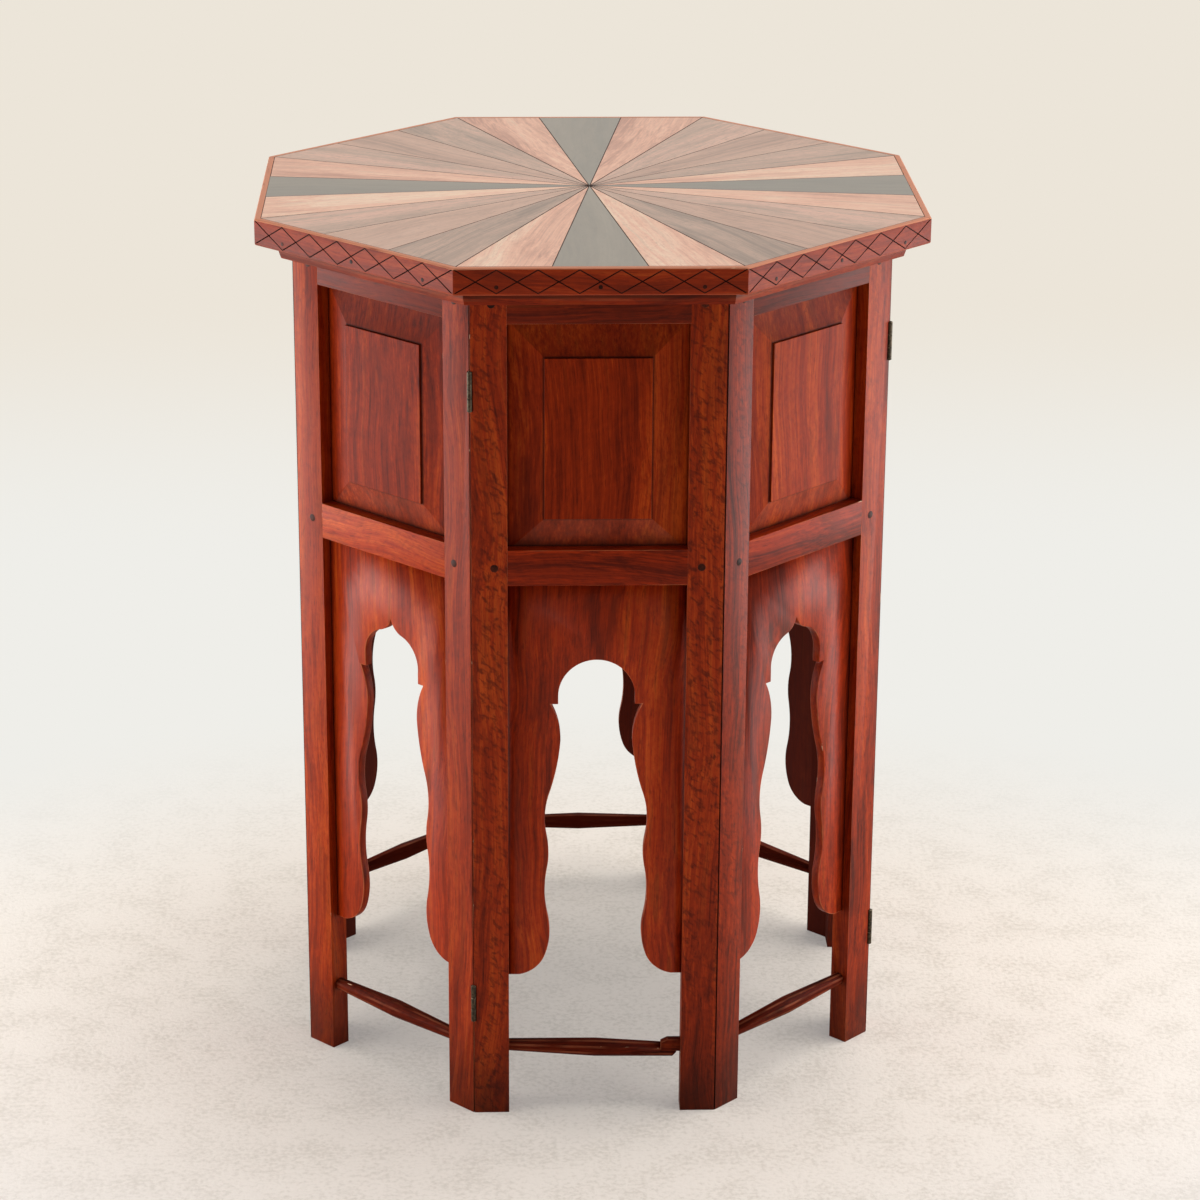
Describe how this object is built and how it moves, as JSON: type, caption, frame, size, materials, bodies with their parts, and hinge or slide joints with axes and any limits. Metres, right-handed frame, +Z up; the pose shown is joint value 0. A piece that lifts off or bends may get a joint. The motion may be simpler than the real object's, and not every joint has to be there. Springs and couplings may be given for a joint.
{
  "type": "folding octagonal side table",
  "caption": "Octagonal side table with a lift-off segmented top on a folding ring of hinged framed panels with cusped arches.",
  "frame": {"origin": "on the floor under the middle of the table", "axes": "+Z up, -Y towards the front panel, which carries the mended stretcher"},
  "size_m": [0.43, 0.43, 0.58],
  "materials": {
    "red_brown_wood": "satin polish",
    "dark_rod_wood": "satin polish",
    "ebony": "satin polish",
    "pale_wood": "satin polish",
    "pink_brown_wood": "satin polish",
    "grey_brown_wood": "satin polish",
    "dark_bronze": "aged"
  },
  "bodies": {
    "top": {"top_board": "red_brown_wood", "ebony_wedges": "ebony", "pale_wedges": "pale_wood", "pink_wedges": "pink_brown_wood", "brown_wedges": "grey_brown_wood", "lipping": "red_brown_wood", "skirt_moulding": "red_brown_wood"},
    "front_panel": {"front_stiles": "red_brown_wood", "front_rails": "red_brown_wood", "front_raised_panel": "red_brown_wood", "front_arched_board": "red_brown_wood", "front_stretcher": "dark_rod_wood", "front_hinges": "dark_bronze", "front_stretcher_stub": "dark_rod_wood"},
    "front_right_panel": {"front_right_stiles": "red_brown_wood", "front_right_rails": "red_brown_wood", "front_right_raised_panel": "red_brown_wood", "front_right_arched_board": "red_brown_wood", "front_right_stretcher": "dark_rod_wood", "front_right_hinges": "dark_bronze"},
    "right_panel": {"right_stiles": "red_brown_wood", "right_rails": "red_brown_wood", "right_raised_panel": "red_brown_wood", "right_arched_board": "red_brown_wood", "right_stretcher": "dark_rod_wood", "right_hinges": "dark_bronze"},
    "back_right_panel": {"back_right_stiles": "red_brown_wood", "back_right_rails": "red_brown_wood", "back_right_raised_panel": "red_brown_wood", "back_right_arched_board": "red_brown_wood", "back_right_stretcher": "dark_rod_wood", "back_right_hinges": "dark_bronze"},
    "back_panel": {"back_stiles": "red_brown_wood", "back_rails": "red_brown_wood", "back_raised_panel": "red_brown_wood", "back_arched_board": "red_brown_wood", "back_stretcher": "dark_rod_wood", "back_hinges": "dark_bronze"},
    "back_left_panel": {"back_left_stiles": "red_brown_wood", "back_left_rails": "red_brown_wood", "back_left_raised_panel": "red_brown_wood", "back_left_arched_board": "red_brown_wood", "back_left_stretcher": "dark_rod_wood", "back_left_hinges": "dark_bronze"},
    "left_panel": {"left_stiles": "red_brown_wood", "left_rails": "red_brown_wood", "left_raised_panel": "red_brown_wood", "left_arched_board": "red_brown_wood", "left_stretcher": "dark_rod_wood", "left_hinges": "dark_bronze"},
    "front_left_panel": {"front_left_stiles": "red_brown_wood", "front_left_rails": "red_brown_wood", "front_left_raised_panel": "red_brown_wood", "front_left_arched_board": "red_brown_wood", "front_left_stretcher": "dark_rod_wood", "front_left_hinges": "dark_bronze"}
  },
  "joints": [
    {"name": "base_fold", "type": "hinge", "parent": "front_panel", "child": "front_right_panel", "pos_m": [0.07373, -0.178, 0], "axis": [0, 0, 1], "range_deg": [0, 130]},
    {"name": "right_fold", "type": "hinge", "parent": "front_right_panel", "child": "right_panel", "pos_m": [0.192, -0.07953, 0], "axis": [0, 0, -1], "range_deg": [0, 130]},
    {"name": "back_right_fold", "type": "hinge", "parent": "right_panel", "child": "back_right_panel", "pos_m": [0.178, 0.07373, 0], "axis": [0, 0, 1], "range_deg": [0, 130]},
    {"name": "front_left_fold", "type": "hinge", "parent": "front_panel", "child": "front_left_panel", "pos_m": [-0.07953, -0.192, 0], "axis": [0, 0, 1], "range_deg": [0, 130]},
    {"name": "left_fold", "type": "hinge", "parent": "front_left_panel", "child": "left_panel", "pos_m": [-0.178, -0.07373, 0], "axis": [0, 0, -1], "range_deg": [0, 130]},
    {"name": "back_left_fold", "type": "hinge", "parent": "left_panel", "child": "back_left_panel", "pos_m": [-0.192, 0.07953, 0], "axis": [0, 0, 1], "range_deg": [0, 130]},
    {"name": "back_fold", "type": "hinge", "parent": "back_left_panel", "child": "back_panel", "pos_m": [-0.07373, 0.178, 0], "axis": [0, 0, -1], "range_deg": [0, 130]},
    {"name": "top_lift", "type": "slide", "parent": "front_panel", "child": "top", "axis": [-0.3979, 0.0312, 0.9169], "range_m": [0, 0.6192]}
  ],
  "couplings": [
    {"joint": "right_fold", "follows": "base_fold", "ratio": 1},
    {"joint": "back_right_fold", "follows": "base_fold", "ratio": 1},
    {"joint": "front_left_fold", "follows": "base_fold", "ratio": 1},
    {"joint": "left_fold", "follows": "base_fold", "ratio": 1},
    {"joint": "back_left_fold", "follows": "base_fold", "ratio": 1},
    {"joint": "back_fold", "follows": "base_fold", "ratio": 1},
    {"joint": "top_lift", "follows": "base_fold", "m_per_rad": 0.27266}
  ]
}
